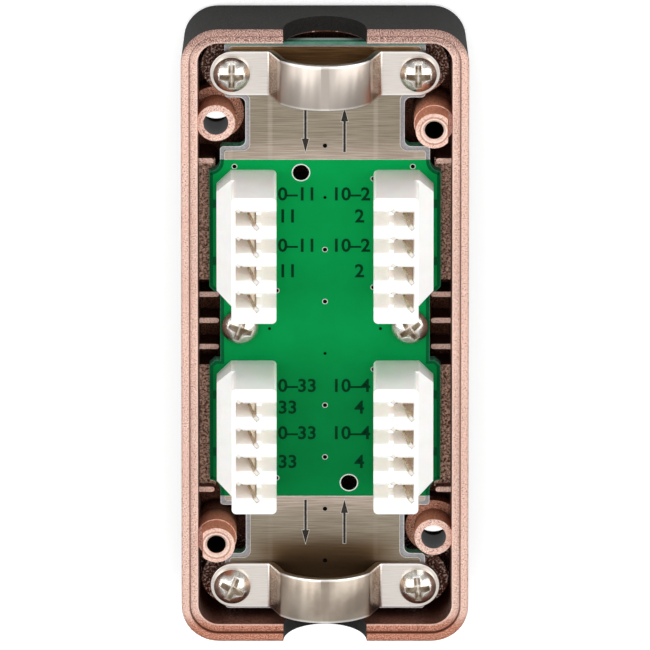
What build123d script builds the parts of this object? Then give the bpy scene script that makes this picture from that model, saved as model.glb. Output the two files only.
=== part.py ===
from build123d import *
import math
import os

# Cable connection box, lower half: a moulded tray that carries a circuit board
# with four punch-down terminal strips and a strap clamp for the cable at each end.
# Millimetres. Z is up and is 0 at the underside of the tray. Y runs along the cable,
# X across the box, and the box is centred on the origin.

os.makedirs("parts", exist_ok=True)

# Tray
tray_length = 96.0
tray_width = 42.0
tray_height = 12.0
corner_radius = 5.5
draft_angle = 2.4
wall = 2.4
floor_thickness = 1.8
base_edge_radius = 1.2
rim_band = 1.2
rim_step = 0.6
cable_notch_radius = 6.1

# Corner posts: two let a screw through, two take its thread
post_x = 15.9
post_from_end = 15.5
through_post_radius = 2.8
through_post_rise = 2.3
through_bore_radius = 1.83
counterbore_radius = 3.0
counterbore_depth = 4.4
foot_radius = 4.1
foot_top = 5.4
blind_post_rise = 0.9
blind_post_radius = 2.95
blind_collar_radius = 2.82
blind_bore_radius = 1.39
blind_bore_depth = 8.4
blind_bore_chamfer = 0.3
tongue_ledge = 10.0
tongue_flat = 2.1

# Ribs on the side walls, and the ledges that the board rests on
rib_thickness = 0.8
middle_rib_pitch = 4.1
middle_rib_top = 5.6
end_rib_to_post = 6.7
end_rib_gap = 0.9
end_rib_top = 7.6
rib_gap = 0.2
rib_root = 0.9
ledge_start = 6.7
ledge_overlap = 0.9

# Circuit board
board_thickness = 1.6
board_underside = 6.2
board_end_gap = 1.15
board_half_width = 16.9
waist_half_width = 15.3
waist_half_length = 5.4
waist_chamfer = 0.8
shoulder_to_post = 4.35
neck_half_width = 11.6
lobe_half_width = 14.65
lobe_to_post = 3.3
shoulder_radius = 0.5
neck_radius = 1.0
lobe_radius = 0.6
board_hole_radius = 1.2
board_hole_x = 3.5
board_hole_y = 24.35
layout_shift = -0.3
same_place = 0.01

# Tinned ground planes on the two ends of the board
plane_thickness = 0.1
plane_margin = 0.6
plane_start = 26.4

# Screws
screw_core_radius = 1.25
screw_fit = 0.05
screw_hole_radius = 1.7
screw_head_radius = 2.68
screw_head_height = 1.9
screw_head_skirt = 0.55
screw_length = 5.5
screw_tip = 0.5
recess_width = 1.0
recess_span = 3.7
recess_depth = 1.6
recess_taper = 14.0
board_screw_x = 12.4
board_screw_boss_radius = 2.5
clamp_screw_x = 13.6
clamp_from_end = 7.8
clamp_screw_boss_radius = 2.4
clamp_foot_radius = 4.4
boss_clearance = 0.3
clamp_screw_turns = (-25, 0, 5, 0)
board_screw_turns = (-20, 35)
pilot_bore_extra = 0.3

# Strap clamps
clamp_ear_end = 3.2
clamp_width = 6.9
clamp_thickness = 0.9
clamp_bend_x = 7.8
clamp_shoulder_x = 6.2
clamp_shoulder_rise = 3.75
clamp_rise = 6.4
clamp_bend_radius = 0.9

# Terminal strips
strip_length = 19.65
strip_width = 6.55
strip_height = 11.4
strip_x = 10.35
strip_start = 5.125
strip_edge_radius = 0.7
ways = 4
way_end = 3.42
slot_width = 2.15
slot_depth = 8.0
slot_end_wall = 0.6
lead_in = 0.35
grip_rib_x = 0.7
grip_rib_width = 0.7
grip_rib_proud = 0.45
grip_rib_drop = 0.4
flange_width = 2.2
flange_outer_height = 3.5
flange_inner_height = 4.3
flange_chamfer = 2.1

# Contacts
contact_width = 4.3
contact_thickness = 0.5
contact_offset = 0.95
contact_top_drop = 0.3
contact_base = 1.0
contact_mouth_half = 1.55
contact_mouth_depth = 3.0
contact_slit = 0.36
contact_slit_depth = 6.6
contact_fit = 0.08
pin_width = 0.7
pin_below_board = 1.2
pin_hole_radius = 0.55

# What follows from them
post_y = tray_length / 2 - post_from_end
clamp_y = tray_length / 2 - clamp_from_end
clamp_length = 2 * (clamp_screw_x + clamp_ear_end)
end_rib_y = post_y - end_rib_to_post
board_half_length = tray_length / 2 - wall - board_end_gap
shoulder_half_length = post_y - shoulder_to_post
lobe_start = post_y + lobe_to_post
strip_y = strip_start + strip_length / 2
way_pitch = (strip_length - 2 * way_end) / (ways - 1)
draft_slope = math.tan(math.radians(draft_angle))
draft_inset = tray_height * draft_slope
post_root = floor_thickness / 2
collar_top = tray_height + blind_post_rise
board_top = board_underside + board_thickness
plane_top = board_top + plane_thickness
contact_x = strip_x + contact_offset
rib_end_x = waist_half_width + rib_gap
end_rib_end_x = waist_half_width + end_rib_gap
rib_root_x = tray_width / 2 - wall + rib_root
pilot_radius = screw_core_radius + screw_fit

through_posts = [(-post_x, post_y), (post_x, -post_y)]
blind_posts = [(post_x, post_y), (-post_x, -post_y)]
clamp_rows = [layout_shift - clamp_y, layout_shift + clamp_y]
clamp_screws = [(x, y) for x in (-clamp_screw_x, clamp_screw_x) for y in clamp_rows]
board_screws = [(-board_screw_x, 0), (board_screw_x, 0)]
contact_rows = [(row - (ways - 1) / 2) * way_pitch for row in range(ways)]
contact_points = [
    (side * contact_x, end * strip_y + layout_shift + row)
    for side in (-1, 1)
    for end in (-1, 1)
    for row in contact_rows
]

# Tray: drafted walls with a stepped rim, a half-round cable notch in each end,
# corner posts, screw bosses and the ribs that hold the board
with BuildPart() as housing:
    with BuildSketch() as base_outline:
        RectangleRounded(
            tray_width - 2 * draft_inset,
            tray_length - 2 * draft_inset,
            corner_radius - draft_inset,
        )
    extrude(amount=tray_height, taper=-draft_angle)
    fillet(housing.edges().group_by(Axis.Z)[0], radius=base_edge_radius)

    with BuildSketch(Plane.XY.offset(tray_height)) as cavity_outline:
        RectangleRounded(tray_width - 2 * wall, tray_length - 2 * wall, corner_radius - wall)
    extrude(amount=floor_thickness - tray_height, taper=draft_angle, mode=Mode.SUBTRACT)

    with BuildSketch(Plane.XY.offset(tray_height)) as step_outline:
        RectangleRounded(
            tray_width - 2 * rim_band,
            tray_length - 2 * rim_band,
            corner_radius - rim_band,
        )
    extrude(amount=-rim_step, mode=Mode.SUBTRACT)

    with BuildSketch(Plane.XZ) as notch_outline:
        with Locations((0, tray_height)):
            Circle(cable_notch_radius)
    extrude(amount=tray_length, both=True, mode=Mode.SUBTRACT)

    # posts with a through hole, on wider feet
    with BuildSketch(Plane.XY.offset(post_root)) as foot_outline:
        with Locations(*through_posts):
            Circle(foot_radius)
    extrude(amount=foot_top - post_root)
    with BuildSketch(Plane.XY.offset(foot_top)) as through_outline:
        with Locations(*through_posts):
            Circle(through_post_radius)
    extrude(amount=tray_height - through_post_rise - foot_top)

    # posts with a blind hole, whose collars rise above the rim and have a flat
    # and a ledge beside the wall for the tongue of the cover
    with BuildSketch(Plane.XY.offset(post_root)) as blind_outline:
        with Locations(*blind_posts):
            Circle(blind_post_radius)
    extrude(amount=tongue_ledge - post_root)
    flat_side = post_x + tongue_flat + blind_collar_radius
    with BuildSketch(Plane.XY.offset(tongue_ledge)) as collar_outline:
        with Locations(*blind_posts):
            Circle(blind_collar_radius)
        with Locations((flat_side, post_y), (-flat_side, -post_y)):
            Rectangle(2 * blind_collar_radius, 2 * blind_collar_radius, mode=Mode.SUBTRACT)
    extrude(amount=collar_top - tongue_ledge, taper=draft_angle)

    # bosses for the screws of the clamps, on wider feet, and of the board
    with BuildSketch(Plane.XY.offset(post_root)) as clamp_foot_outline:
        with Locations(*clamp_screws):
            Circle(clamp_foot_radius)
    extrude(amount=foot_top - post_root)
    with BuildSketch(Plane.XY.offset(post_root)) as clamp_boss_outline:
        with Locations(*clamp_screws):
            Circle(clamp_screw_boss_radius)
    extrude(amount=plane_top - post_root)
    with BuildSketch(Plane.XY.offset(post_root)) as board_boss_outline:
        with Locations(*board_screws):
            Circle(board_screw_boss_radius)
    extrude(amount=board_underside - post_root)

    # ribs, three at the waist and one near each end, on both sides
    middle_rib_length = rib_root_x - rib_end_x
    with BuildSketch(Plane.XY.offset(post_root)) as middle_rib_outline:
        for side in (-1, 1):
            for step in (-1, 0, 1):
                with Locations((side * (rib_end_x + middle_rib_length / 2), step * middle_rib_pitch)):
                    SlotOverall(middle_rib_length, rib_thickness)
    extrude(amount=middle_rib_top - post_root)
    end_rib_length = rib_root_x - end_rib_end_x
    with BuildSketch(Plane.XY.offset(post_root)) as end_rib_outline:
        for side in (-1, 1):
            for end in (-1, 1):
                with Locations((side * (end_rib_end_x + end_rib_length / 2), end * end_rib_y)):
                    SlotOverall(end_rib_length, rib_thickness)
    extrude(amount=end_rib_top - post_root)

    # ledges between the ribs, on which the wings of the board rest
    ledge_inner_x = board_half_width - ledge_overlap
    ledge_width = rib_root_x - ledge_inner_x
    ledge_length = end_rib_y - ledge_start
    with BuildSketch(Plane.XY.offset(post_root)) as ledge_outline:
        for side in (-1, 1):
            for end in (-1, 1):
                with Locations((side * (ledge_inner_x + ledge_width / 2), end * (ledge_start + ledge_length / 2))):
                    Rectangle(ledge_width, ledge_length)
    extrude(amount=board_underside - post_root)

    # holes in the posts and bosses
    with Locations(Plane.XY.offset(tray_height - through_post_rise)):
        with Locations(*through_posts):
            Hole(through_bore_radius, depth=tray_height)
    with BuildSketch(Plane.XY) as counterbore_outline:
        with Locations(*through_posts):
            Circle(counterbore_radius)
    extrude(amount=counterbore_depth, mode=Mode.SUBTRACT)
    with Locations(Plane.XY.offset(collar_top)):
        with Locations(*blind_posts):
            Hole(blind_bore_radius, depth=blind_bore_depth)
    with Locations(Plane.XY.offset(plane_top)):
        with Locations(*clamp_screws):
            Hole(pilot_radius, depth=screw_length - clamp_thickness + pilot_bore_extra)
    with Locations(Plane.XY.offset(board_underside)):
        with Locations(*board_screws):
            Hole(pilot_radius, depth=screw_length - board_thickness + pilot_bore_extra)
    collar_edges = housing.edges().group_by(Axis.Z)[-1]
    chamfer(collar_edges.filter_by(lambda edge: edge.is_closed), length=blind_bore_chamfer)

housing.part.label = "housing"
export_step(housing.part, "parts/housing.step")


# Corners of an outline at distances x and y from the middle of the board
def corners_at(outline, x, y):
    return [
        v for v in outline.vertices()
        if abs(abs(v.X) - x) < same_place and abs(abs(v.Y) - y) < same_place
    ]


# Outline of the board, or of what is laid on it at a distance from its edge
def board_outline(inset):
    wing_length = end_rib_y - waist_half_length
    lobe_length = board_half_length - lobe_start
    with BuildSketch() as outline:
        Rectangle(2 * (neck_half_width - inset), 2 * (board_half_length - inset))
        Rectangle(2 * (waist_half_width - inset), 2 * (shoulder_half_length - inset))
        for end in (-1, 1):
            with Locations((0, end * (waist_half_length + wing_length / 2))):
                Rectangle(2 * (board_half_width - inset), wing_length - 2 * inset)
            with Locations((0, end * (lobe_start + lobe_length / 2))):
                Rectangle(2 * (lobe_half_width - inset), lobe_length - 2 * inset)
        neck_x = neck_half_width - inset
        lobe_x = lobe_half_width - inset
        lobe_y = lobe_start + inset
        shoulder_y = shoulder_half_length - inset
        fillet(corners_at(outline, neck_x, shoulder_y), radius=neck_radius)
        fillet(corners_at(outline, neck_x, lobe_y), radius=neck_radius)
        fillet(corners_at(outline, lobe_x, lobe_y), radius=lobe_radius)
        fillet(corners_at(outline, lobe_x, board_half_length - inset), radius=lobe_radius)
        fillet(corners_at(outline, waist_half_width - inset, shoulder_y), radius=shoulder_radius)
        wing_corners = corners_at(outline, board_half_width - inset, waist_half_length + inset)
        chamfer(wing_corners, length=waist_chamfer)
        for side in (-1, 1):
            for end in (-1, 1):
                with Locations((side * board_half_width, end * end_rib_y)):
                    Circle(board_half_width - waist_half_width + inset, mode=Mode.SUBTRACT)
        notch_radius = clamp_screw_boss_radius + boss_clearance + inset
        notch_length = lobe_half_width - clamp_screw_x + 2 * notch_radius
        for side in (-1, 1):
            for row in clamp_rows:
                notch_x = side * (clamp_screw_x - notch_radius + notch_length)
                with Locations((notch_x, row)):
                    SlotOverall(2 * notch_length, 2 * notch_radius, mode=Mode.SUBTRACT)
    return outline.sketch


# Circuit board: waisted between the ribs, necked between the corner posts and
# notched round the clamp bosses
with BuildPart() as circuit_board:
    with BuildSketch(Plane.XY.offset(board_underside)) as board_face:
        add(board_outline(0))
        with Locations(*board_screws):
            Circle(screw_hole_radius, mode=Mode.SUBTRACT)
        with Locations((-board_hole_x, board_hole_y + layout_shift), (board_hole_x, layout_shift - board_hole_y)):
            Circle(board_hole_radius, mode=Mode.SUBTRACT)
        with Locations(*contact_points):
            Circle(pin_hole_radius, mode=Mode.SUBTRACT)
    extrude(amount=board_thickness)

circuit_board.part.label = "circuit_board"
export_step(circuit_board.part, "parts/circuit_board.step")

# Tinned ground planes, a thin layer of metal on each end of the board
for end, end_name in ((1, "a"), (-1, "b")):
    plane_length = board_half_length - plane_start
    with BuildPart() as ground_plane:
        with BuildSketch(Plane.XY.offset(board_top)) as plane_face:
            add(board_outline(plane_margin))
            with Locations((0, end * (plane_start + plane_length / 2) + layout_shift)):
                Rectangle(tray_width, plane_length, mode=Mode.INTERSECT)
        extrude(amount=plane_thickness)
    ground_plane.part.label = "ground_plane_" + end_name
    export_step(ground_plane.part, "parts/ground_plane_" + end_name + ".step")

# Strap clamps: flat round-ended ears, steep shoulders and a flatter crown over the cable
ear_middle = plane_top + clamp_thickness / 2
shoulder_middle = ear_middle + clamp_shoulder_rise
crown_middle = ear_middle + clamp_rise
for row, end_name in zip(clamp_rows, ("b", "a")):
    with BuildPart() as cable_clamp:
        with BuildSketch(Plane.XZ.offset(-row)) as strap_face:
            with BuildLine() as strap_path:
                Polyline(
                    (-clamp_length / 2, ear_middle),
                    (-clamp_bend_x, ear_middle),
                    (-clamp_shoulder_x, shoulder_middle),
                )
                ThreePointArc(
                    (-clamp_shoulder_x, shoulder_middle),
                    (0, crown_middle),
                    (clamp_shoulder_x, shoulder_middle),
                )
                Polyline(
                    (clamp_shoulder_x, shoulder_middle),
                    (clamp_bend_x, ear_middle),
                    (clamp_length / 2, ear_middle),
                )
                fillet(strap_path.vertices(), radius=clamp_bend_radius)
            trace(line_width=clamp_thickness)
        extrude(amount=clamp_width / 2, both=True)
        with BuildSketch(Plane.XY.offset(board_top)) as strap_plan:
            with Locations((0, row)):
                SlotOverall(clamp_length, clamp_width)
                with Locations((-clamp_screw_x, 0), (clamp_screw_x, 0)):
                    Circle(screw_hole_radius, mode=Mode.SUBTRACT)
        extrude(amount=clamp_length, mode=Mode.INTERSECT)
    cable_clamp.part.label = "cable_clamp_" + end_name
    export_step(cable_clamp.part, "parts/cable_clamp_" + end_name + ".step")


# Pan-head screw with a cross recess, drawn with its head seated at height 0
with BuildPart() as screw:
    with BuildSketch(Plane.XZ) as half_section:
        with BuildLine() as section_line:
            Polyline(
                (0, screw_head_height),
                (0, -screw_length),
                (screw_core_radius - screw_tip, -screw_length),
                (screw_core_radius, -screw_length + screw_tip),
                (screw_core_radius, 0),
                (screw_head_radius, 0),
                (screw_head_radius, screw_head_skirt),
            )
            TangentArc(
                (0, screw_head_height),
                (screw_head_radius, screw_head_skirt),
                tangent=(1, 0),
            )
        make_face()
    revolve(axis=Axis.Z)
    with BuildSketch(Plane.XY.offset(screw_head_height)) as recess_outline:
        Rectangle(recess_span, recess_width)
        Rectangle(recess_width, recess_span)
    extrude(amount=-recess_depth, taper=recess_taper, mode=Mode.SUBTRACT)

# Four screws hold the clamps and two hold the board, each stopped at its own turn
with BuildPart() as clamp_screw_set:
    for (x, y), turn in zip(clamp_screws, clamp_screw_turns):
        with Locations(Location((x, y, plane_top + clamp_thickness), turn)):
            add(screw.part)
clamp_screw_set.part.label = "clamp_screws"
export_step(clamp_screw_set.part, "parts/clamp_screws.step")

with BuildPart() as board_screw_set:
    for (x, y), turn in zip(board_screws, board_screw_turns):
        with Locations(Location((x, y, board_top), turn)):
            add(screw.part)
board_screw_set.part.label = "board_screws"
export_step(board_screw_set.part, "parts/board_screws.step")

# Terminal strip, drawn about its own centre with the flange toward -X: wire slots open
# on the other side, a pair of grip ribs in each and a slanted pocket for the contact
with BuildPart() as terminal_strip:
    with BuildSketch() as body_outline:
        RectangleRounded(strip_width, strip_length, strip_edge_radius)
    extrude(amount=strip_height)
    with BuildSketch(Plane.XZ) as flange_profile:
        with BuildLine() as flange_line:
            Polyline(
                (-strip_width / 2 + strip_edge_radius, 0),
                (-strip_width / 2 - flange_width, 0),
                (-strip_width / 2 - flange_width, flange_outer_height),
                (-strip_width / 2, flange_inner_height),
                (-strip_width / 2 + strip_edge_radius, flange_inner_height),
                close=True,
            )
        make_face()
    extrude(amount=strip_length / 2, both=True)
    flange_edges = terminal_strip.edges().filter_by(Axis.Z).group_by(Axis.X)[0]
    chamfer(flange_edges, length=flange_chamfer)
    for row in contact_rows:
        with BuildSketch(Plane.YZ.offset(slot_end_wall - strip_width / 2)) as slot_profile:
            with BuildLine() as slot_line:
                Polyline(
                    (row - slot_width / 2, strip_height - slot_depth),
                    (row + slot_width / 2, strip_height - slot_depth),
                    (row + slot_width / 2, strip_height - lead_in),
                    (row + slot_width / 2 + lead_in, strip_height),
                    (row - slot_width / 2 - lead_in, strip_height),
                    (row - slot_width / 2, strip_height - lead_in),
                    close=True,
                )
            make_face()
        extrude(amount=strip_width, mode=Mode.SUBTRACT)
        with BuildSketch(Plane.XY.offset(strip_height - slot_depth)) as grip_outline:
            for side in (-1, 1):
                with Locations((grip_rib_x, row + side * (slot_width / 2 - grip_rib_proud / 2))):
                    Rectangle(grip_rib_width, grip_rib_proud)
        extrude(amount=slot_depth - grip_rib_drop)
        with BuildSketch() as pocket_outline:
            with Locations(Location((-contact_offset, row), -45)):
                Rectangle(contact_width + 2 * contact_fit, contact_thickness + 2 * contact_fit)
        extrude(amount=strip_height, mode=Mode.SUBTRACT)

for side, side_name in ((-1, "left"), (1, "right")):
    for end, end_name in ((1, "a"), (-1, "b")):
        turn = 0 if side < 0 else 180
        place = Location((side * strip_x, end * strip_y + layout_shift, board_top), (0, 0, turn))
        strip_part = place * terminal_strip.part
        strip_part.label = "terminal_strip_" + side_name + "_" + end_name
        export_step(strip_part, "parts/" + strip_part.label + ".step")

# Contact: a forked plate that cuts into the wire, standing at 45 degrees in its slot,
# with a pin through the board
contact_top = strip_height - contact_top_drop
with BuildPart() as contact:
    with BuildSketch(Plane.XZ) as blade_face:
        with BuildLine() as blade_line:
            Polyline(
                (-contact_width / 2, contact_base),
                (-contact_width / 2, contact_top),
                (-contact_mouth_half, contact_top),
                (-contact_slit / 2, contact_top - contact_mouth_depth),
                (-contact_slit / 2, contact_top - contact_slit_depth),
                (contact_slit / 2, contact_top - contact_slit_depth),
                (contact_slit / 2, contact_top - contact_mouth_depth),
                (contact_mouth_half, contact_top),
                (contact_width / 2, contact_top),
                (contact_width / 2, contact_base),
                (pin_width / 2, contact_base),
                (pin_width / 2, -board_thickness - pin_below_board),
                (-pin_width / 2, -board_thickness - pin_below_board),
                (-pin_width / 2, contact_base),
                close=True,
            )
        make_face()
    extrude(amount=contact_thickness / 2, both=True)

for number, (x, y) in enumerate(contact_points, 1):
    contact_part = Location((x, y, board_top), (0, 0, -45)) * contact.part
    contact_part.label = "contact_" + str(number)
    export_step(contact_part, "parts/" + contact_part.label + ".step")
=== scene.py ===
# Open lower half of a cable connection box: a copper plated tray with a green
# circuit board, four white terminal strips and a strap clamp at each end.
import math

import bmesh
import bpy
from mathutils import Matrix, Vector


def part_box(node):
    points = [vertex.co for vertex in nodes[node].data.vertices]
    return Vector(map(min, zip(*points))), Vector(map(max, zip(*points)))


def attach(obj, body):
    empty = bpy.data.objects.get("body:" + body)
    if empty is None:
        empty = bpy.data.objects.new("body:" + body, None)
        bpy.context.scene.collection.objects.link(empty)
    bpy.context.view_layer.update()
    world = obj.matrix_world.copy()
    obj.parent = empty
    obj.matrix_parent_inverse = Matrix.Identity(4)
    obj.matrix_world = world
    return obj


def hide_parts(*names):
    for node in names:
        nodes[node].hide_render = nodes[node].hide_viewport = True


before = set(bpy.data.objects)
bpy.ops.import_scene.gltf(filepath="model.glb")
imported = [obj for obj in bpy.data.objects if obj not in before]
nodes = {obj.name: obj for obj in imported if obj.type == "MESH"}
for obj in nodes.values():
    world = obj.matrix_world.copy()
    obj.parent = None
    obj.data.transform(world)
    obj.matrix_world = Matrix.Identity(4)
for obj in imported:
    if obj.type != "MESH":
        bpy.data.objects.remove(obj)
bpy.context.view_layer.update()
mm = 0.001


# Colours are given as they look on a screen, 0 to 255, and turned into the
# linear values that a shader takes.
def screen(red, green, blue):
    linear = []
    for level in (red, green, blue):
        share = level / 255
        if share <= 0.04045:
            linear.append(share / 12.92)
        else:
            linear.append(((share + 0.055) / 1.055) ** 2.4)
    return (*linear, 1.0)


# One shader node with its settings and inputs. An input is a plain value or a
# socket to link from.
def add_node(tree, kind, inputs=None, **settings):
    node = tree.nodes.new(kind)
    for key, value in settings.items():
        setattr(node, key, value)
    for key, value in (inputs or {}).items():
        if isinstance(value, bpy.types.NodeSocket):
            tree.links.new(value, node.inputs[key])
        else:
            node.inputs[key].default_value = value
    return node


def calc(tree, operation, first, second=0.0, third=0.0):
    inputs = {0: first, 1: second, 2: third}
    return add_node(tree, "ShaderNodeMath", inputs, operation=operation).outputs[0]


# 0 below low, 1 above high and a smooth change between them
def ramp(tree, value, low, high):
    inputs = {"Value": value, "From Min": low, "From Max": high}
    settings = {"interpolation_type": "SMOOTHSTEP", "clamp": True}
    return add_node(tree, "ShaderNodeMapRange", inputs, **settings).outputs["Result"]


def blend_colour(tree, share, first, second):
    inputs = {"Factor": share, 6: first, 7: second}
    return add_node(tree, "ShaderNodeMix", inputs, data_type="RGBA").outputs[2]


def blend_value(tree, share, first, second):
    return add_node(tree, "ShaderNodeMix", {"Factor": share, 2: first, 3: second}).outputs[0]


# Places of the surface point in millimetres, so that masks can be given in the
# sizes of the part
def places(tree):
    coords = add_node(tree, "ShaderNodeTexCoord").outputs["Object"]
    scaled = add_node(tree, "ShaderNodeVectorMath", {0: coords, "Scale": 1 / mm}, operation="SCALE")
    split = add_node(tree, "ShaderNodeSeparateXYZ", {0: scaled.outputs[0]})
    return scaled.outputs[0], split.outputs[0], split.outputs[1], split.outputs[2]


# Distance in millimetres from an upright axis
def from_axis(tree, x, y, axis_x, axis_y):
    off_x = calc(tree, "SUBTRACT", x, axis_x)
    off_y = calc(tree, "SUBTRACT", y, axis_y)
    squares = calc(tree, "ADD", calc(tree, "MULTIPLY", off_x, off_x), calc(tree, "MULTIPLY", off_y, off_y))
    return calc(tree, "SQRT", squares)


def new_group(name, inputs, outputs):
    group = bpy.data.node_groups.new(name, "ShaderNodeTree")
    for label, value in inputs.items():
        socket = group.interface.new_socket(label, in_out="INPUT", socket_type="NodeSocketFloat")
        socket.default_value = value
    for label in outputs:
        group.interface.new_socket(label, in_out="OUTPUT", socket_type="NodeSocketFloat")
    entry = group.nodes.new("NodeGroupInput")
    result = group.nodes.new("NodeGroupOutput")
    return group, entry.outputs, result.inputs


# Grain of a moulded, sprayed or plated surface: fine specks, a height for the
# bump and slow blotches, at sizes in millimetres
def make_grain():
    group, entry, result = new_group(
        "surface_grain", {"Grain size": 0.2, "Blotch size": 6.0}, ["Specks", "Height", "Blotches"]
    )
    place = places(group)[0]
    fine = calc(group, "DIVIDE", 1.0, entry["Grain size"])
    slow = calc(group, "DIVIDE", 1.0, entry["Blotch size"])
    specks = add_node(
        group, "ShaderNodeTexNoise", {"Vector": place, "Scale": fine, "Detail": 3.0, "Roughness": 0.6}
    )
    blotches = add_node(
        group, "ShaderNodeTexNoise", {"Vector": place, "Scale": slow, "Detail": 4.0, "Roughness": 0.55}
    )
    group.links.new(ramp(group, specks.outputs["Fac"], 0.3, 0.7), result["Specks"])
    group.links.new(specks.outputs["Fac"], result["Height"])
    group.links.new(ramp(group, blotches.outputs["Fac"], 0.3, 0.7), result["Blotches"])
    return group


# Streaks of rolled or brushed metal that run along X, with the width of a
# streak across them and its length along them in millimetres
def make_streaks():
    group, entry, result = new_group("rolled_streaks", {"Width": 0.15, "Length": 8.0}, ["Streaks"])
    across = calc(group, "DIVIDE", 1.0, entry["Width"])
    along = calc(group, "DIVIDE", 1.0, entry["Length"])
    place, x, y, z = places(group)
    squeezed = add_node(
        group,
        "ShaderNodeCombineXYZ",
        {
            0: calc(group, "MULTIPLY", x, along),
            1: calc(group, "MULTIPLY", y, across),
            2: calc(group, "MULTIPLY", z, across),
        },
    )
    noise = add_node(
        group, "ShaderNodeTexNoise", {"Vector": squeezed.outputs[0], "Scale": 1.0, "Detail": 3.0}
    )
    group.links.new(ramp(group, noise.outputs["Fac"], 0.3, 0.7), result["Streaks"])
    return group


grain_group = make_grain()
streak_group = make_streaks()


def new_material(name):
    material = bpy.data.materials.new(name)
    material.use_nodes = True
    tree = material.node_tree
    tree.nodes.clear()
    shader = tree.nodes.new("ShaderNodeBsdfPrincipled")
    output = tree.nodes.new("ShaderNodeOutputMaterial")
    tree.links.new(shader.outputs[0], output.inputs["Surface"])
    return material, tree, shader


def use_group(tree, group, **inputs):
    node = tree.nodes.new("ShaderNodeGroup")
    node.node_tree = group
    for key, value in inputs.items():
        node.inputs[key.replace("_", " ")].default_value = value
    return node.outputs


def set_inputs(tree, shader, inputs):
    for key, value in inputs.items():
        if isinstance(value, bpy.types.NodeSocket):
            tree.links.new(value, shader.inputs[key])
        else:
            shader.inputs[key].default_value = value


def bump(tree, height, distance, strength=1.0):
    inputs = {"Height": height, "Distance": distance * mm, "Strength": strength}
    return add_node(tree, "ShaderNodeBump", inputs).outputs["Normal"]


def paint(material, *names):
    for name in names:
        materials = nodes[name].data.materials
        materials.clear()
        materials.append(material)


def finish_piece(name, bm, materials):
    bmesh.ops.recalc_face_normals(bm, faces=bm.faces)
    mesh = bpy.data.meshes.new(name)
    bm.to_mesh(mesh)
    bm.free()
    for material in materials:
        mesh.materials.append(material)
    piece = bpy.data.objects.new(name, mesh)
    bpy.context.scene.collection.objects.link(piece)
    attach(piece, "root")
    return piece


# A copy of a CAD piece with its flat faces joined and its sharp edges rounded a little
def soften(node_name, radius, material):
    node = nodes[node_name]
    bm = bmesh.new()
    bm.from_mesh(node.data)
    bm.transform(node.matrix_world)
    bmesh.ops.remove_doubles(bm, verts=bm.verts, dist=0.0005 * mm)
    bmesh.ops.dissolve_limit(
        bm, angle_limit=math.radians(1), verts=bm.verts, edges=bm.edges, use_dissolve_boundaries=False
    )
    bm.normal_update()
    for face in bm.faces:
        face.smooth = abs(face.normal.z) < 0.999
    piece = finish_piece(node_name + "_soft", bm, [material])
    edges = piece.modifiers.new("edges", "BEVEL")
    edges.width = radius * mm
    edges.segments = 3
    edges.limit_method = "ANGLE"
    edges.angle_limit = math.radians(35)
    edges.harden_normals = True
    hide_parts(node_name)


# Tray. Black moulded plastic, with a matt copper coat sprayed on the inside and the
# rim. The cable notches, the through holes and the outside stay bare.
tray_low, tray_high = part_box("housing")
rim_height = 12.0
step_height = 11.4
tray_half_width = 21.0
tray_half_length = 48.0
rim_corner = 5.5
rim_band = 1.2
wall = 2.4
notch_radius = 6.1
inner_end = 45.6
post_x = 15.9
post_y = 32.5
through_radius = 1.83
through_depth = (4.3, 9.6)
blind_radius = 1.39
blind_depth = 12.4
foot_top = 5.4
foot_reach = 4.6
rib_tops = ((5.4, 5.8, (0.0, 5.2), 15.2), (7.4, 7.8, (25.8, 0.6), 16.2))


# Distance inward from the outer edge of the rim, true near the walls
def from_rim(tree, x, y):
    out_x = calc(tree, "MAXIMUM", calc(tree, "SUBTRACT", calc(tree, "ABSOLUTE", x), tray_half_width - rim_corner), 0.0)
    out_y = calc(tree, "MAXIMUM", calc(tree, "SUBTRACT", calc(tree, "ABSOLUTE", y), tray_half_length - rim_corner), 0.0)
    return calc(tree, "SUBTRACT", rim_corner, from_axis(tree, out_x, out_y, 0.0, 0.0))


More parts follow.
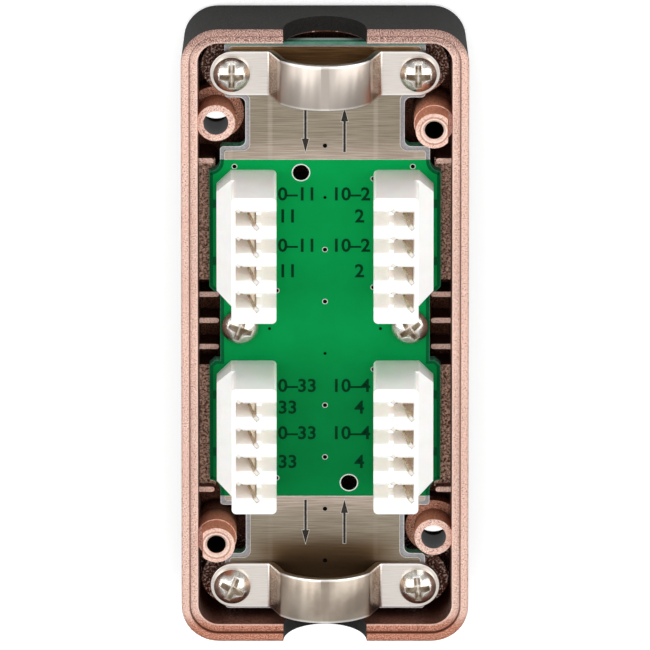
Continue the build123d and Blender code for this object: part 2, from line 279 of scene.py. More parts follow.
def make_shell():
    material, tree, shader = new_material("copper_coated_plastic")
    place, x, y, z = places(tree)
    grain = use_group(tree, grain_group, Grain_size=0.16, Blotch_size=5.0)
    normal = add_node(tree, "ShaderNodeTexCoord").outputs["Normal"]
    facing = add_node(tree, "ShaderNodeSeparateXYZ", {0: normal}).outputs[2]
    inside = ramp(tree, facing, -0.03, -0.01)

    # the notches: near the axis of the cable and beyond the inner face of the end wall
    drop = calc(tree, "SUBTRACT", z, rim_height)
    in_notch = calc(tree, "LESS_THAN", from_axis(tree, x, drop, 0.0, 0.0), notch_radius + 0.03)
    beyond = calc(tree, "GREATER_THAN", calc(tree, "ABSOLUTE", y), inner_end - 0.1)
    notch = calc(tree, "MULTIPLY", in_notch, beyond)

    # the walls of the two through holes, which stand on one diagonal
    bare = notch
    hole_walls = 0.0
    blind_shade = 0.0
    bore_off = 99.0
    for side in (-1, 1):
        off_x = calc(tree, "SUBTRACT", x, side * post_x)
        off_y = calc(tree, "SUBTRACT", y, -side * post_y)
        radius = calc(tree, "SQRT", calc(tree, "ADD", calc(tree, "MULTIPLY", off_x, off_x), calc(tree, "MULTIPLY", off_y, off_y)))
        hole = calc(tree, "LESS_THAN", radius, through_radius + 0.03)
        below = calc(tree, "LESS_THAN", z, through_depth[1])
        hole_walls = calc(tree, "MAXIMUM", hole_walls, calc(tree, "MULTIPLY", hole, below))
        off_x = calc(tree, "ADD", x, side * post_x)
        radius = calc(tree, "SQRT", calc(tree, "ADD", calc(tree, "MULTIPLY", off_x, off_x), calc(tree, "MULTIPLY", off_y, off_y)))
        bore_off = calc(tree, "MINIMUM", bore_off, radius)
        hole = calc(tree, "LESS_THAN", radius, blind_radius + 0.03)
        blind_shade = calc(tree, "MAXIMUM", blind_shade, calc(tree, "MULTIPLY", hole, calc(tree, "LESS_THAN", z, blind_depth)))
    bare = calc(tree, "MAXIMUM", bare, hole_walls)
    coated = calc(tree, "MULTIPLY", inside, calc(tree, "SUBTRACT", 1.0, bare))

    # dark specks in the coat, and painted shade that deepens towards the floor; the
    # tops of the ribs stand clear of the board and are as bright as the rim
    pits = ramp(tree, use_group(tree, grain_group, Grain_size=0.2, Blotch_size=2.5)["Height"], 0.45, 0.36)
    unshaded_share = ramp(tree, z, 5.6, 10.0)
    upward = calc(tree, "GREATER_THAN", facing, 0.95)
    for low, high, reach, rib_start in rib_tops:
        level = calc(tree, "MULTIPLY", calc(tree, "GREATER_THAN", z, low), calc(tree, "LESS_THAN", z, high))
        near = calc(tree, "LESS_THAN", calc(tree, "ABSOLUTE", calc(tree, "SUBTRACT", calc(tree, "ABSOLUTE", y), reach[0])), reach[1])
        out = calc(tree, "GREATER_THAN", calc(tree, "ABSOLUTE", x), rib_start)
        share = calc(tree, "MULTIPLY", calc(tree, "MULTIPLY", level, near), calc(tree, "MULTIPLY", out, upward))
        unshaded_share = calc(tree, "MAXIMUM", unshaded_share, calc(tree, "MULTIPLY", share, 0.9))
    bright = blend_colour(tree, grain["Specks"], screen(214, 164, 146), screen(255, 232, 220))
    bright = blend_colour(tree, grain["Blotches"], bright, blend_colour(tree, 0.35, bright, screen(236, 190, 174)))
    # painted shade: the rim is browner at the ends
    near_end_shade = blend_colour(tree, grain["Specks"], screen(132, 74, 54), screen(238, 174, 148))
    far_end_shade = blend_colour(tree, grain["Specks"], screen(54, 30, 24), screen(244, 202, 188))
    bright = blend_colour(tree, ramp(tree, y, -43.5, -46.0), bright, near_end_shade)
    bright = blend_colour(tree, ramp(tree, y, 43.5, 46.0), bright, far_end_shade)
    bright = blend_colour(tree, calc(tree, "MULTIPLY", pits, 0.8), bright, screen(112, 70, 56))
    collar = calc(tree, "GREATER_THAN", z, rim_height + 0.1)
    bright = blend_colour(tree, calc(tree, "MULTIPLY", collar, 0.25), bright, screen(255, 218, 200))
    ring = calc(tree, "MULTIPLY", collar, ramp(tree, bore_off, 1.95, 1.8))
    bright = blend_colour(tree, calc(tree, "MULTIPLY", ring, 0.6), bright, screen(255, 232, 220))
    ring = calc(tree, "MULTIPLY", collar, ramp(tree, calc(tree, "ABSOLUTE", calc(tree, "SUBTRACT", bore_off, 2.05)), 0.16, 0.06))
    bright = blend_colour(tree, calc(tree, "MULTIPLY", ring, 0.55), bright, screen(150, 92, 70))
    # painted shade: the dark copper colour of the coat low in the cavity, redder towards end b
    shaded_copper = blend_colour(tree, grain["Specks"], screen(38, 22, 16), screen(132, 86, 68))
    shaded_copper = blend_colour(tree, calc(tree, "MULTIPLY", ramp(tree, y, -36.0, -44.0), 0.75), shaded_copper, screen(88, 32, 12))
    ledge = calc(tree, "MULTIPLY", calc(tree, "GREATER_THAN", z, 6.1), calc(tree, "LESS_THAN", z, 6.3))
    ledge = calc(tree, "MULTIPLY", ledge, upward)
    coarse = use_group(tree, grain_group, Grain_size=0.34, Blotch_size=3.0)
    grainy = blend_colour(tree, coarse["Specks"], screen(78, 50, 38), screen(244, 198, 176))
    shaded_copper = blend_colour(tree, pits, shaded_copper, screen(30, 22, 20))
    # painted glints on the shaded copper round the clamp bosses
    boss_off = from_axis(tree, calc(tree, "ABSOLUTE", x), calc(tree, "ABSOLUTE", y), 13.6, 40.2)
    boss_glints = ramp(tree, coarse["Height"], 0.52, 0.6)
    boss_glints = calc(tree, "MULTIPLY", boss_glints, ramp(tree, boss_off, 5.6, 4.6))
    shaded_copper = blend_colour(tree, calc(tree, "MULTIPLY", boss_glints, 0.85), shaded_copper, screen(226, 206, 196))
    copper = blend_colour(tree, unshaded_share, shaded_copper, bright)
    copper = blend_colour(tree, ledge, copper, blend_colour(tree, pits, grainy, screen(50, 34, 28)))
    # painted shade on the walls below the rim, with painted glints in it
    steep = calc(tree, "LESS_THAN", facing, 0.5)
    glints = ramp(tree, use_group(tree, grain_group, Grain_size=0.14, Blotch_size=2.5)["Height"], 0.6, 0.68)
    shaded_copper = blend_colour(tree, calc(tree, "MULTIPLY", glints, 0.7), shaded_copper, screen(196, 178, 170))
    copper = blend_colour(tree, calc(tree, "MULTIPLY", steep, 0.7), copper, shaded_copper)
    post_light = 0.0
    feet = 0.0
    for side_x in (-1, 1):
        for side_y in (-1, 1):
            off = from_axis(tree, x, y, side_x * post_x, side_y * post_y)
            post_light = calc(tree, "MAXIMUM", post_light, calc(tree, "LESS_THAN", off, 3.05))
            feet = calc(tree, "MAXIMUM", feet, calc(tree, "LESS_THAN", off, foot_reach))
    post_light = calc(tree, "MULTIPLY", calc(tree, "MULTIPLY", post_light, steep), ramp(tree, z, 4.0, 8.0))
    feet = calc(tree, "MULTIPLY", feet, calc(tree, "LESS_THAN", z, foot_top + 0.05))
    feet = calc(tree, "MULTIPLY", feet, ramp(tree, z, 2.5, 4.5))
    grainy_foot = blend_colour(tree, grain["Specks"], screen(150, 92, 70), screen(248, 190, 164))
    grainy_foot = blend_colour(tree, pits, grainy_foot, screen(84, 52, 42))
    copper = blend_colour(tree, calc(tree, "MULTIPLY", feet, 0.85), copper, grainy_foot)
    # painted light and reflection: a bright orange copper on the post walls
    copper = blend_colour(tree, post_light, copper, blend_colour(tree, grain["Specks"], screen(184, 104, 74), screen(248, 176, 144)))
    # the rim: wear at the outer edge, painted shade in the groove at the step, painted highlight on the inner edge
    inward = from_rim(tree, x, y)
    on_rim = calc(tree, "MULTIPLY", calc(tree, "GREATER_THAN", z, step_height - 0.05), calc(tree, "LESS_THAN", inward, wall + 0.05))
    worn_reach = blend_value(tree, ramp(tree, calc(tree, "ABSOLUTE", y), 40.0, 46.0), 0.35, 0.6)
    wear_and_shade = calc(tree, "SUBTRACT", 1.0, calc(tree, "MINIMUM", calc(tree, "DIVIDE", inward, worn_reach), 1.0))
    wear_and_shade = calc(tree, "MULTIPLY", calc(tree, "MULTIPLY", on_rim, wear_and_shade), 0.85)
    copper = blend_colour(tree, calc(tree, "MULTIPLY", wear_and_shade, blend_value(tree, pits, 0.35, 1.0)), copper, screen(70, 46, 38))
    groove_shade = ramp(tree, calc(tree, "ABSOLUTE", calc(tree, "SUBTRACT", inward, rim_band + 0.02)), 0.16, 0.04)
    groove_shade_colour = blend_colour(tree, ramp(tree, y, 43.5, 46.0), screen(108, 66, 52), screen(74, 46, 38))
    copper = blend_colour(tree, calc(tree, "MULTIPLY", calc(tree, "MULTIPLY", on_rim, groove_shade), 0.75), copper, groove_shade_colour)
    lip_highlight = ramp(tree, calc(tree, "ABSOLUTE", calc(tree, "SUBTRACT", inward, wall - 0.1)), 0.2, 0.05)
    copper = blend_colour(tree, calc(tree, "MULTIPLY", calc(tree, "MULTIPLY", on_rim, lip_highlight), 0.4), copper, screen(250, 222, 210))
    plastic = blend_colour(tree, grain["Specks"], screen(6, 6, 6), screen(36, 34, 32))
    # painted light: the bare walls of the through holes are grey and glow a little, as if lit through the holes
    plastic = blend_colour(tree, hole_walls, plastic, screen(84, 82, 84))
    # painted shade: the dead-end holes in the posts are near black inside
    copper = blend_colour(tree, blind_shade, copper, screen(16, 11, 9))
    set_inputs(
        tree,
        shader,
        {
            "Base Color": blend_colour(tree, coated, plastic, copper),
            "Metallic": calc(tree, "MULTIPLY", coated, blend_value(tree, post_light, 0.85, 0.35)),
            "Roughness": blend_value(tree, coated, 0.7, 0.5),
            "Specular IOR Level": 0.2,
            # painted light: the walls of the through holes glow a little
            "Emission Color": screen(255, 255, 255),
            "Emission Strength": calc(tree, "MULTIPLY", hole_walls, 0.035),
            "Normal": bump(tree, grain["Height"], 0.06, 0.8),
        },
    )
    return material


shell_coat = make_shell()
paint(shell_coat, "housing")

# Circuit board. Glass fibre laminate under green solder mask, which is darker in a
# border along the edge, where no copper lies beneath it. The ends carry no mask.
layout_shift = -0.3
board_top = 7.8
plane_top = 7.9
mask_start = -26.7
mask_end = 26.1
border = 0.55
wing_half_width = 16.9
waist_half_width = 15.3
waist_half_length = 5.4
gap_middle = 14.98
gap_spread = 4.48
open_holes = ((-3.5, 24.05), (3.5, -24.65))
open_hole_radius = 1.2


def make_board():
    material, tree, shader = new_material("solder_mask")
    place, x, y, z = places(tree)
    grain = use_group(tree, grain_group, Grain_size=0.35, Blotch_size=7.0)
    across = calc(tree, "ABSOLUTE", x)
    along = calc(tree, "ABSOLUTE", y)
    in_waist = calc(tree, "LESS_THAN", along, waist_half_length + border)
    half_width = blend_value(tree, in_waist, wing_half_width, waist_half_width)
    from_edge = calc(tree, "SUBTRACT", half_width, across)
    edge_share = calc(tree, "LESS_THAN", from_edge, border)
    mask_from = calc(tree, "GREATER_THAN", y, mask_start)
    mask_to = calc(tree, "LESS_THAN", y, mask_end)
    on_top = calc(tree, "GREATER_THAN", z, board_top - 0.02)
    masked = calc(tree, "MULTIPLY", calc(tree, "MULTIPLY", mask_from, mask_to), on_top)
    green = blend_colour(tree, grain["Blotches"], screen(0, 146, 70), screen(0, 152, 75))
    shaded = blend_colour(tree, grain["Blotches"], screen(0, 118, 56), screen(0, 124, 61))
    green = blend_colour(tree, ramp(tree, y, 24.0, -24.0), green, shaded)
    # copper segments under the mask beside the terminal strips
    beside = calc(tree, "MULTIPLY", calc(tree, "GREATER_THAN", from_edge, border), ramp(tree, from_edge, 1.15, 1.05))
    beside = calc(tree, "MULTIPLY", beside, calc(tree, "SUBTRACT", 1.0, in_waist))
    gap_off = calc(tree, "ABSOLUTE", calc(tree, "SUBTRACT", y, layout_shift))
    for place_along in (gap_middle, gap_spread):
        gap_off = calc(tree, "ABSOLUTE", calc(tree, "SUBTRACT", gap_off, place_along))
    gap = calc(tree, "MULTIPLY", beside, ramp(tree, gap_off, 0.75, 0.6))
    green = blend_colour(tree, calc(tree, "MULTIPLY", gap, 0.8), green, screen(0, 70, 38))
    green = blend_colour(tree, edge_share, green, screen(0, 88, 46))
    laminate = blend_colour(tree, grain["Specks"], screen(138, 138, 142), screen(160, 160, 162))
    edge = blend_colour(tree, grain["Specks"], screen(44, 104, 84), screen(96, 150, 128))
    lit = calc(tree, "MULTIPLY", ramp(tree, z, 7.1, 6.9), ramp(tree, across, 6.6, 6.2))
    edge = blend_colour(tree, calc(tree, "MULTIPLY", lit, 0.8), edge, screen(176, 196, 188))
    laminate = blend_colour(tree, on_top, edge, laminate)
    # painted shade: the walls of the open holes are near black
    for hole_x, hole_y in open_holes:
        off_x = calc(tree, "SUBTRACT", x, hole_x)
        off_y = calc(tree, "SUBTRACT", y, hole_y)
        radius = calc(tree, "SQRT", calc(tree, "ADD", calc(tree, "MULTIPLY", off_x, off_x), calc(tree, "MULTIPLY", off_y, off_y)))
        wall = calc(tree, "LESS_THAN", radius, open_hole_radius + 0.02)
        laminate = blend_colour(tree, wall, laminate, screen(14, 13, 12))
    set_inputs(
        tree,
        shader,
        {
            "Base Color": blend_colour(tree, masked, laminate, green),
            "Roughness": blend_value(tree, masked, 0.6, 0.45),
            "Specular IOR Level": 0.04,
            "Normal": bump(tree, grain["Blotches"], 0.01, 0.3),
        },
    )
    return material


paint(make_board(), "circuit_board")

# Tinned ground planes. Copper foil dipped in tin, dull, with fine level streaks.
tin_bands = (-13.8, -8.0, 7.4, 13.2)


def make_tin():
    material, tree, shader = new_material("tinned_copper")
    streaks = use_group(tree, streak_group, Width=0.09, Length=5.0)["Streaks"]
    place, x, y, z = places(tree)
    along = calc(tree, "ABSOLUTE", calc(tree, "SUBTRACT", y, layout_shift))
    tin = blend_colour(tree, streaks, screen(132, 121, 104), screen(166, 155, 138))
    warm = blend_colour(tree, streaks, screen(160, 142, 126), screen(204, 190, 178))
    tin = blend_colour(tree, ramp(tree, along, 30.5, 26.5), tin, warm)
    # painted reflection: the foil turns brownish near its ends, beyond the straps
    brown_reflection = blend_colour(tree, streaks, screen(126, 94, 60), screen(172, 132, 88))
    tin = blend_colour(tree, ramp(tree, along, 40.6, 42.0), tin, brown_reflection)
    # painted shadow of the strap of end b on the foil in front of it
    far = calc(tree, "MULTIPLY", ramp(tree, y, -31.0, -35.5), ramp(tree, calc(tree, "ABSOLUTE", x), 14.0, 6.0))
    tin = blend_colour(tree, calc(tree, "MULTIPLY", far, 0.92), tin, screen(94, 70, 44))
    # the foil shows pale bands along the cable, fainter on plane b
    for band in tin_bands:
        off = calc(tree, "ABSOLUTE", calc(tree, "SUBTRACT", x, band))
        share = calc(tree, "MULTIPLY", ramp(tree, off, 0.5, 0.15), blend_value(tree, ramp(tree, y, -1.0, 1.0), 0.03, 0.16))
        tin = blend_colour(tree, share, tin, screen(222, 212, 200))
    set_inputs(
        tree,
        shader,
        {
            "Base Color": tin,
            "Metallic": 1.0,
            "Roughness": blend_value(tree, streaks, 0.34, 0.44),
            "Normal": bump(tree, streaks, 0.01, 0.5),
        },
    )
    return material


paint(make_tin(), "ground_plane_a", "ground_plane_b")

# Strap clamps. Pressed steel strip with satin nickel plating.
clamp_y = 40.2
crown_start = 11.5


def make_strap():
    material, tree, shader = new_material("satin_nickel")
    grain = use_group(tree, grain_group, Grain_size=0.16, Blotch_size=4.0)
    streaks = use_group(tree, streak_group, Width=0.08, Length=5.0)["Streaks"]
    nickel = blend_colour(tree, streaks, screen(220, 212, 204), screen(238, 232, 226))
    # painted shade, brownish and speckled, on the bends and the steep shoulders
    normal = add_node(tree, "ShaderNodeTexCoord").outputs["Normal"]
    turned = add_node(tree, "ShaderNodeSeparateXYZ", {0: normal}).outputs
    tilt_share = ramp(tree, turned[2], 0.93, 0.62)
    place, x, y, z = places(tree)
    across = calc(tree, "ABSOLUTE", x)
    near_bend = calc(tree, "MULTIPLY", ramp(tree, across, 5.2, 6.4), ramp(tree, across, 8.6, 8.1))
    bend_shade = blend_colour(tree, grain["Specks"], screen(78, 56, 42), screen(214, 190, 170))
    share = calc(tree, "MAXIMUM", calc(tree, "MULTIPLY", tilt_share, near_bend), calc(tree, "MULTIPLY", near_bend, 0.35))
    nickel = blend_colour(tree, share, nickel, bend_shade)
    # painted shade: the crown is duller than the ears, lighter on strap a
    crown = calc(tree, "GREATER_THAN", z, crown_start)
    wear_and_shade = blend_colour(tree, grain["Blotches"], screen(166, 152, 138), screen(186, 174, 160))
    wear_and_shade = blend_colour(tree, ramp(tree, y, 0.0, 1.0), wear_and_shade, screen(192, 182, 173))
    nickel = blend_colour(tree, crown, nickel, wear_and_shade)
    shade = calc(tree, "MULTIPLY", crown, ramp(tree, across, 3.6, 6.2))
    nickel = blend_colour(tree, calc(tree, "MULTIPLY", shade, 0.35), nickel, screen(186, 166, 148))
    # painted reflection: a dark stripe down the middle of the crown of strap b
    middle = calc(tree, "MULTIPLY", calc(tree, "MULTIPLY", crown, ramp(tree, across, 1.1, 0.0)), ramp(tree, y, 1.0, -1.0))
    nickel = blend_colour(tree, calc(tree, "MULTIPLY", middle, 0.4), nickel, screen(150, 138, 126))
    # painted highlight along the edges of the strap
    from_middle = calc(tree, "ABSOLUTE", calc(tree, "SUBTRACT", calc(tree, "ABSOLUTE", calc(tree, "SUBTRACT", y, layout_shift)), clamp_y))
    edge_highlight = calc(tree, "MULTIPLY", ramp(tree, from_middle, 3.0, 3.3), 0.8)
    nickel = blend_colour(tree, edge_highlight, nickel, screen(255, 252, 248))
    # painted shade: the side faces of the strap are dark and brownish
    edge_share = calc(tree, "MULTIPLY", calc(tree, "LESS_THAN", turned[2], 0.2), 0.7)
    nickel = blend_colour(tree, edge_share, nickel, screen(128, 108, 90))
    set_inputs(
        tree,
        shader,
        {
            "Base Color": nickel,
            "Metallic": 1.0,
            "Roughness": blend_value(tree, grain["Blotches"], 0.3, 0.36),
            "Normal": bump(tree, streaks, 0.004, 0.2),
        },
    )
    return material


strap = make_strap()
for end in ("a", "b"):
    soften("cable_clamp_" + end, 0.12, strap)

# Screws. Cold formed steel with bright nickel plating. The cross recess runs out
# into four flared wings, which are duller than the dome.
wing_half = 0.34
wing_reach = 1.9
wing_fillet = 0.2
clamp_screw_x = 13.6
clamp_screw_y = 40.2
screw_turns = (
    (-clamp_screw_x, layout_shift - clamp_screw_y, -25),
    (-clamp_screw_x, layout_shift + clamp_screw_y, 0),
    (clamp_screw_x, layout_shift - clamp_screw_y, 5),
    (clamp_screw_x, layout_shift + clamp_screw_y, 0),
    (-12.4, 0, -20),
    (12.4, 0, 35),
)


def make_screw_metal():
    material, tree, shader = new_material("bright_nickel")
    grain = use_group(tree, grain_group, Grain_size=0.2, Blotch_size=1.0)
    place, x, y, z = places(tree)
    star = 0.0
    star_edge_highlight = 0.0
    for screw_x, screw_y, turn in screw_turns:
        angle = math.radians(turn)
        off_x = calc(tree, "SUBTRACT", x, screw_x)
        off_y = calc(tree, "SUBTRACT", y, screw_y)
        across = calc(tree, "ADD", calc(tree, "MULTIPLY", off_x, math.cos(angle)), calc(tree, "MULTIPLY", off_y, math.sin(angle)))
        along = calc(tree, "SUBTRACT", calc(tree, "MULTIPLY", off_y, math.cos(angle)), calc(tree, "MULTIPLY", off_x, math.sin(angle)))
        across = calc(tree, "ABSOLUTE", across)
        along = calc(tree, "ABSOLUTE", along)
        beyond = calc(tree, "MULTIPLY", calc(tree, "SUBTRACT", across, wing_half), calc(tree, "SUBTRACT", along, wing_half))
        reach = calc(tree, "MAXIMUM", across, along)
        wings = calc(tree, "MULTIPLY", ramp(tree, beyond, wing_fillet + 0.05, wing_fillet), ramp(tree, reach, wing_reach, wing_reach - 0.1))
        rims = calc(tree, "MULTIPLY", ramp(tree, beyond, wing_fillet + 0.3, wing_fillet + 0.1), ramp(tree, reach, wing_reach + 0.15, wing_reach + 0.05))
        star = calc(tree, "MAXIMUM", star, wings)
        star_edge_highlight = calc(tree, "MAXIMUM", star_edge_highlight, rims)
    nickel = blend_colour(tree, grain["Blotches"], screen(206, 200, 190), screen(236, 232, 226))
    # painted highlight round the edges of the star
    nickel = blend_colour(tree, calc(tree, "MULTIPLY", star_edge_highlight, 0.8), nickel, screen(255, 253, 250))
    recess = blend_colour(tree, grain["Blotches"], screen(196, 184, 168), screen(246, 242, 236))
    set_inputs(
        tree,
        shader,
        {
            "Base Color": blend_colour(tree, star, nickel, recess),
            "Metallic": 1.0,
            "Roughness": blend_value(tree, star, 0.18, 0.32),
            "Normal": bump(tree, calc(tree, "SUBTRACT", grain["Height"], calc(tree, "MULTIPLY", star, 1.5)), 0.04, 0.6),
        },
    )
    return material


paint(make_screw_metal(), "clamp_screws", "board_screws")

# Terminal strips. White moulded plastic, four ways each.
strip_y = 14.95


def make_strip_plastic():
    material, tree, shader = new_material("white_plastic")
    grain = use_group(tree, grain_group, Grain_size=0.12, Blotch_size=3.0)
    place, x, y, z = places(tree)
    across = calc(tree, "ABSOLUTE", x)
    in_body = calc(tree, "MULTIPLY", calc(tree, "GREATER_THAN", across, 7.2), calc(tree, "LESS_THAN", across, 13.5))
    in_slot = calc(tree, "MULTIPLY", in_body, ramp(tree, z, 19.15, 18.6))
    off = calc(tree, "ABSOLUTE", calc(tree, "SUBTRACT", calc(tree, "ABSOLUTE", calc(tree, "SUBTRACT", y, layout_shift)), strip_y))
    in_slot = calc(tree, "MULTIPLY", in_slot, calc(tree, "LESS_THAN", off, 9.7))
    glow = calc(tree, "MULTIPLY", in_slot, 0.14)
    set_inputs(
        tree,
        shader,
        {
            "Base Color": blend_colour(tree, grain["Blotches"], screen(246, 245, 242), screen(250, 249, 247)),
            "Roughness": blend_value(tree, grain["Specks"], 0.38, 0.46),
            "Subsurface Weight": 0.3,
            "Subsurface Scale": 0.8 * mm,
            "Emission Color": screen(255, 240, 224),
            "Emission Strength": glow,
            "Normal": bump(tree, grain["Height"], 0.008, 0.3),
        },
    )
    return material


strip_names = ["terminal_strip_" + side + "_" + end for side in ("left", "right") for end in ("a", "b")]
strip_plastic = make_strip_plastic()
for strip_name in strip_names:
    soften(strip_name, 0.22, strip_plastic)

# Contacts. Punched and tinned bronze.
def make_contact_metal():
    material, tree, shader = new_material("tinned_bronze")
    grain = use_group(tree, grain_group, Grain_size=0.2, Blotch_size=1.2)
    height = places(tree)[3]
    # painted highlight at the top of each contact
    tip_highlight = ramp(tree, height, 18.5, 18.85)
    metal = blend_colour(tree, grain["Blotches"], screen(196, 180, 160), screen(222, 212, 196))
    set_inputs(
        tree,
        shader,
        {
            "Base Color": blend_colour(tree, tip_highlight, metal, screen(255, 252, 246)),
            "Metallic": 1.0,
            "Roughness": blend_value(tree, grain["Specks"], 0.22, 0.34),
            "Normal": bump(tree, grain["Height"], 0.01, 0.3),
        },
    )
    return material


contact_names = ["contact_" + str(number) for number in range(1, 17)]
paint(make_contact_metal(), *contact_names)

# Legends, holes and edges of the board. The solder mask ends in a thin painted highlight
# at the edge of the board, bare laminate shows round the planes, plated holes have pale
# rings round painted shade, arrows lie on the planes and the rows of terminals are numbered.
lift = 0.02
glass_edge = 43.98
text_height = 1.9
via_radius = 0.32
via_ring = 0.41
hole_ring = 0.16


def plain_material(name, low, high, roughness, metallic=0.0, size=0.3):
    material, tree, shader = new_material(name)
    grain = use_group(tree, grain_group, Grain_size=size, Blotch_size=4.0)
    set_inputs(
        tree,
        shader,
        {
            "Base Color": blend_colour(tree, grain["Specks"], screen(*low), screen(*high)),
            "Roughness": roughness,
            "Metallic": metallic,
            "Specular IOR Level": 0.04,
        },
    )
    return material


def make_border(name, on_mask, off_mask):
    material, tree, shader = new_material(name)
    place, x, y, z = places(tree)
    grain = use_group(tree, grain_group, Grain_size=0.3, Blotch_size=4.0)
    masked = calc(tree, "MULTIPLY", calc(tree, "GREATER_THAN", y, mask_start), calc(tree, "LESS_THAN", y, mask_end))
    green = blend_colour(tree, grain["Specks"], screen(*on_mask[0]), screen(*on_mask[1]))
    bare = blend_colour(tree, grain["Specks"], screen(*off_mask[0]), screen(*off_mask[1]))
    glass = blend_colour(tree, grain["Blotches"], screen(60, 118, 98), screen(112, 158, 140))
    bare = blend_colour(tree, calc(tree, "GREATER_THAN", y, glass_edge), bare, glass)
    set_inputs(
        tree,
        shader,
        {"Base Color": blend_colour(tree, masked, bare, green), "Roughness": 0.45, "Specular IOR Level": 0.04},
    )
    return material


# painted highlight along the edge of the board
board_edge_highlight = make_border("mask_edge_highlight", ((20, 104, 66), (58, 132, 98)), ((190, 190, 190), (222, 221, 220)))
border_mask = make_border("mask_border", ((0, 84, 44), (0, 96, 50)), ((140, 139, 143), (164, 162, 164)))
plane_line = plain_material("tin_edge", (196, 190, 180), (226, 222, 214), 0.35, 0.6)
pad_ring = plain_material("pad_ring", (206, 216, 206), (236, 240, 234), 0.5)
# painted shade: black discs stand for the dark inside of the plated holes
hole_shade = plain_material("hole_shade", (3, 4, 3), (8, 9, 8), 0.9)
legend_green = plain_material("legend_green", (0, 44, 24), (0, 60, 32), 0.6)
legend_grey = plain_material("legend_grey", (40, 36, 34), (60, 55, 52), 0.7)


# The upward faces of a CAD piece, merged and lifted a little, with bands of given
# widths along all their edges. Each band takes its own material.
def edge_bands(name, node_name, widths, materials, clear=()):
    node = nodes[node_name]
    bm = bmesh.new()
    bm.from_mesh(node.data)
    bm.transform(node.matrix_world)
    bmesh.ops.remove_doubles(bm, verts=bm.verts, dist=0.0005 * mm)
    top = max(vert.co.z for vert in bm.verts)
    away = [face for face in bm.faces if face.normal.z < 0.9 or face.calc_center_median().z < top - 0.01 * mm]
    bmesh.ops.delete(bm, geom=away, context="FACES")
    inner = list(bm.faces)
    for index, width in enumerate(widths):
        band = bmesh.ops.inset_region(
            bm, faces=inner, thickness=width * mm, use_boundary=True, use_even_offset=True
        )["faces"]
        for face in band:
            face.material_index = index
    for x, y in clear:
        middle = Vector((x * mm, y * mm, top))
        inner += [face for face in bm.faces if (face.calc_center_median() - middle).length < 2.2 * mm]
    bmesh.ops.delete(bm, geom=list(set(inner)), context="FACES")
    bmesh.ops.translate(bm, verts=bm.verts, vec=(0, 0, lift * mm))
    return finish_piece(name, bm, materials)


edge_bands("board_border", "circuit_board", (0.1, 0.45), [board_edge_highlight, border_mask], open_holes)
for end in ("a", "b"):
    edge_bands("plane_edge_" + end, "ground_plane_" + end, (0.09,), [plane_line])


def add_shape(bm, corners, height, index):
    face = bm.faces.new([bm.verts.new((x * mm, y * mm, height * mm)) for x, y in corners])
    face.material_index = index
    return face


def add_disc(bm, x, y, radius, height, index):
    count = 28
    turn = 2 * math.pi / count
    corners = [
        (x + radius * math.cos(step * turn), y + radius * math.sin(step * turn)) for step in range(count)
    ]
    add_shape(bm, corners, height, index)


def surface_at(y):
    return board_top if mask_start < y < mask_end else plane_top


via_row = [(0, 28.3 - step * 8.15) for step in range(9)]
via_places = [place for step, place in enumerate(via_row) if step not in (1, 4)]
via_places += [(-13.2, 25.0), (12.8, 25.0)]
bare_vias = [(-8.1, -0.4), (8.1, -0.4), via_row[1], via_row[4]]
via_places += [(-7.05, 5.57), (7.05, 23.1), (7.05, 6.09), (-7.1, -23.9), (7.1, -6.8)]
bm = bmesh.new()
for x, y in via_places:
    if mask_start < y < mask_end:
        add_disc(bm, x, y, via_ring, surface_at(y) + 1.5 * lift, 0)
    add_disc(bm, x, y, via_radius, surface_at(y) + 2.5 * lift, 1)
for x, y in bare_vias:
    add_disc(bm, x, y, 0.7 * via_radius, surface_at(y) + 2.5 * lift, 1)
finish_piece("plated_holes", bm, [pad_ring, hole_shade])

bm = bmesh.new()
for x, y in open_holes:
    count = 40
    near, far = open_hole_radius, open_hole_radius + hole_ring
    for step in range(count):
        first = step * 2 * math.pi / count
        second = (step + 1) * 2 * math.pi / count
        corners = [
            (x + radius * math.cos(angle), y + radius * math.sin(angle))
            for radius, angle in ((near, first), (far, first), (far, second), (near, second))
        ]
        add_shape(bm, corners, board_top + 1.5 * lift, 0)
finish_piece("board_hole_rings", bm, [pad_ring])

# Arrows: a shaft and a long head, with a pale outline
arrow_x = 2.85
arrow_far = 34.2
arrow_tip = 27.3
head_length = 2.1
head_half = 0.53
shaft_half = 0.18
outline = 0.08


def add_arrow(bm, x, tail, tip, half_shaft, half_head, length, height, index):
    way = 1 if tip > tail else -1
    neck = tip - way * length
    corners = [
        (x - half_shaft, tail),
        (x + half_shaft, tail),
        (x + half_shaft, neck),
        (x + half_head, neck),
        (x, tip),
        (x - half_head, neck),
        (x - half_shaft, neck),
    ]
    add_shape(bm, corners, height, index)


bm = bmesh.new()
for side in (-1, 1):
    for end in (-1, 1):
        near, far = end * arrow_tip, end * arrow_far
        tail, tip = (far, near) if side * end < 0 else (near, far)
        way = 1 if tip > tail else -1
        height = plane_top + 1.5 * lift
        add_arrow(
            bm, side * arrow_x, tail - way * outline, tip + way * 3 * outline,
            shaft_half + outline, head_half + outline, head_length + 4 * outline, height, 0,
        )
        add_arrow(bm, side * arrow_x, tail, tip, shaft_half, head_half, head_length, height + lift, 1)
finish_piece("plane_arrows", bm, [plane_line, legend_grey])


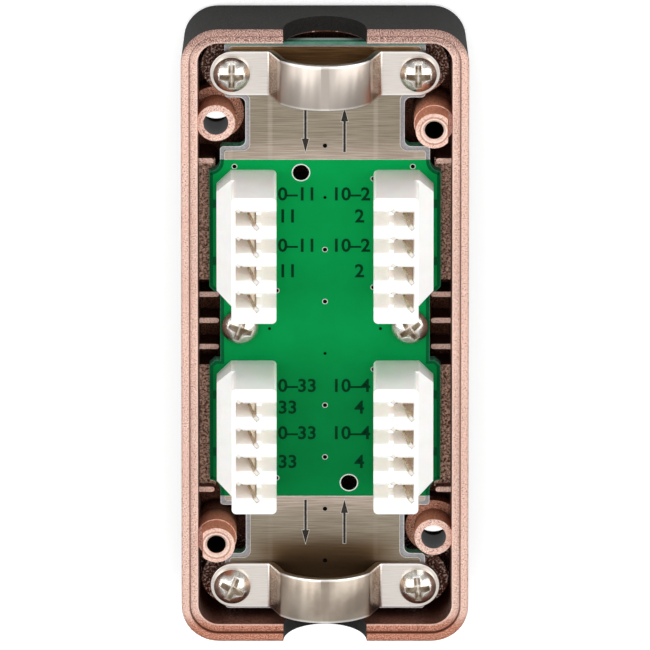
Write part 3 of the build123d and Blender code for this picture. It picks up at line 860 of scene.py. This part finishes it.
def add_text(bm, body, x, y, align):
    curve = bpy.data.curves.new("legend", "FONT")
    curve.body = body
    curve.size = text_height * 1.5 * mm
    curve.offset = 0.06 * mm
    curve.align_x = align
    curve.align_y = "CENTER"
    curve.resolution_u = 3
    holder = bpy.data.objects.new("legend", curve)
    bpy.context.scene.collection.objects.link(holder)
    bpy.context.view_layer.update()
    mesh = bpy.data.meshes.new_from_object(holder)
    mesh.transform(Matrix.Translation((x * mm, y * mm, (board_top + 1.5 * lift) * mm)))
    bm.from_mesh(mesh)
    bpy.data.objects.remove(holder)
    bpy.data.curves.remove(curve)
    bpy.data.meshes.remove(mesh)


label_rows = {"a": (20.59, 17.14, 12.55, 8.55), "b": (-9.47, -12.89, -16.91, -21.44)}
label_numbers = {("left", "a"): "11", ("right", "a"): "2", ("left", "b"): "33", ("right", "b"): "4"}
bm = bmesh.new()
for (side, end), number in label_numbers.items():
    for row, y in enumerate(label_rows[end]):
        if row % 2 == 0:
            body, left_end, right_start = "10–" + number, -1.19, 0.94
        else:
            body, left_end, right_start = number, -4.03, 4.33
        if side == "left":
            add_text(bm, body, left_end, y, "RIGHT")
        else:
            add_text(bm, body, right_start, y, "LEFT")
finish_piece("terminal_numbers", bm, [legend_green])

# Floor, lights and camera. A white floor, two large soft lights left and right with
# a gap between them, a weak one opposite, and a long lens that looks down from end a.
look_at = Vector((0, 1.803, 12.0)) * mm
tilt = math.radians(21.538)
distance = 4.0
bore_glow = 3.0


def make_floor():
    bm = bmesh.new()
    bmesh.ops.create_grid(bm, x_segments=1, y_segments=1, size=1.5)
    mesh = bpy.data.meshes.new("floor")
    bm.to_mesh(mesh)
    bm.free()
    floor = bpy.data.objects.new("floor", mesh)
    bpy.context.scene.collection.objects.link(floor)
    material, tree, shader = new_material("white_floor")
    place, x, y, z = places(tree)
    # painted light: the floor glows white to the camera under the two through holes, where the tray shades it
    near = 0.0
    for side in (-1, 1):
        off_x = calc(tree, "SUBTRACT", x, side * post_x)
        off_y = calc(tree, "SUBTRACT", y, -side * post_y)
        radius = calc(tree, "SQRT", calc(tree, "ADD", calc(tree, "MULTIPLY", off_x, off_x), calc(tree, "MULTIPLY", off_y, off_y)))
        near = calc(tree, "MAXIMUM", near, calc(tree, "LESS_THAN", radius, bore_glow))
    seen = add_node(tree, "ShaderNodeLightPath").outputs["Is Camera Ray"]
    set_inputs(
        tree,
        shader,
        {
            "Base Color": (0.95, 0.95, 0.95, 1),
            "Roughness": 0.9,
            "Emission Color": (1, 1, 1, 1),
            "Emission Strength": calc(tree, "MULTIPLY", calc(tree, "MAXIMUM", near, 0.32), seen),
        },
    )
    mesh.materials.append(material)


def add_light(name, place, width, length, watts):
    data = bpy.data.lights.new(name, "AREA")
    data.shape = "RECTANGLE"
    data.size = width
    data.size_y = length
    data.energy = watts
    light = bpy.data.objects.new(name, data)
    bpy.context.scene.collection.objects.link(light)
    light.location = place
    light.rotation_euler = (look_at - Vector(place)).to_track_quat("-Z", "Y").to_euler()


def make_world():
    world = bpy.data.worlds.new("studio")
    world.use_nodes = True
    tree = world.node_tree
    background = tree.nodes["Background"]
    rays = add_node(tree, "ShaderNodeLightPath").outputs
    way = add_node(tree, "ShaderNodeTexCoord").outputs["Generated"]
    rise = add_node(tree, "ShaderNodeSeparateXYZ", {0: way}).outputs[2]
    shade = ramp(tree, rise, 0.35, 0.95)
    around = blend_colour(tree, shade, (0.42, 0.415, 0.41, 1), (0.86, 0.855, 0.85, 1))
    colour = blend_colour(tree, rays["Is Camera Ray"], around, (1, 1, 1, 1))
    tree.links.new(colour, background.inputs["Color"])
    bpy.context.scene.world = world


make_floor()
make_world()
add_light("left_softbox", (-0.85, 0.1, 0.9), 0.8, 1.3, 6.5)
add_light("right_softbox", (0.85, 0.1, 0.9), 0.8, 1.3, 6.5)
add_light("front_softbox", (0.0, 1.4, 0.5), 1.4, 0.6, 4.0)

camera_data = bpy.data.cameras.new("camera")
camera_data.lens = 1517.8
camera_data.clip_end = 10
camera = bpy.data.objects.new("camera", camera_data)
bpy.context.scene.collection.objects.link(camera)
camera.location = look_at + distance * Vector((0, math.sin(tilt), math.cos(tilt)))
camera.rotation_euler = (-tilt, 0, 0)
bpy.context.scene.camera = camera
bpy.context.scene.view_settings.view_transform = "Standard"
